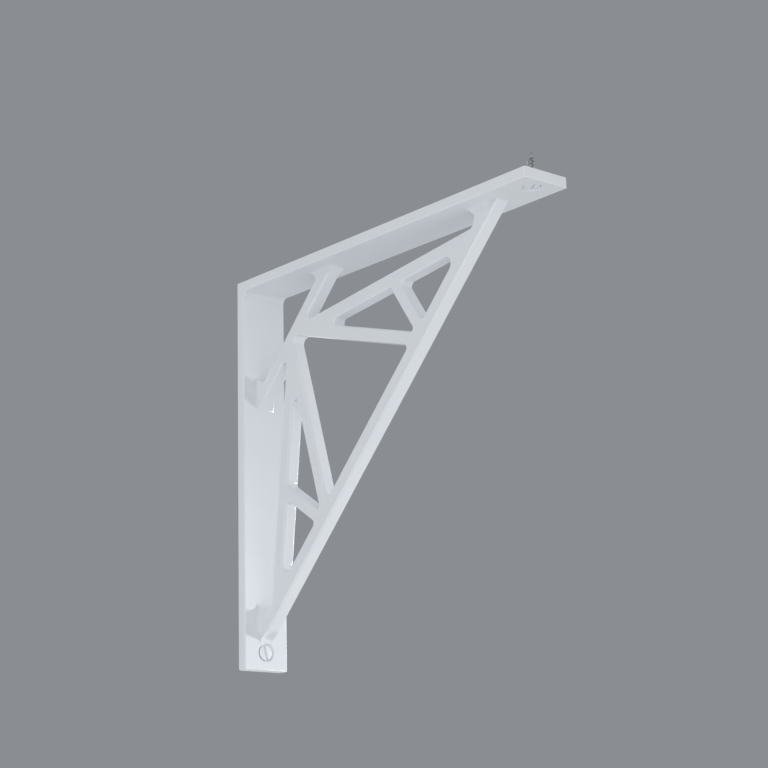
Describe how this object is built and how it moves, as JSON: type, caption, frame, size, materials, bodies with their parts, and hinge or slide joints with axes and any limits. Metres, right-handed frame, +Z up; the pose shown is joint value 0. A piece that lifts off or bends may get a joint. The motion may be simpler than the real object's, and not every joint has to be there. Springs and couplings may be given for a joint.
{
  "type": "shelf bracket",
  "caption": "White painted cast iron shelf bracket: two flat legs at a right angle, braced by an open truss of slim bars, with slotted countersunk wood screws at the leg ends.",
  "frame": {"origin": "the corner where the plane of the wall face meets the plane of the shelf face, at mid width", "axes": "+X along the width, +Y into the wall, +Z up into the shelf; the shelf leg runs to -Y and the wall leg to -Z"},
  "size_m": [0.025, 0.2157, 0.2017],
  "materials": {
    "white_paint": "semi-gloss cool white paint over a smooth casting",
    "painted_screw": "head painted over in white, bare steel thread"
  },
  "bodies": {
    "root": {"bracket": "white_paint", "wall_screw": "painted_screw", "shelf_screw": "painted_screw"}
  },
  "joints": []
}
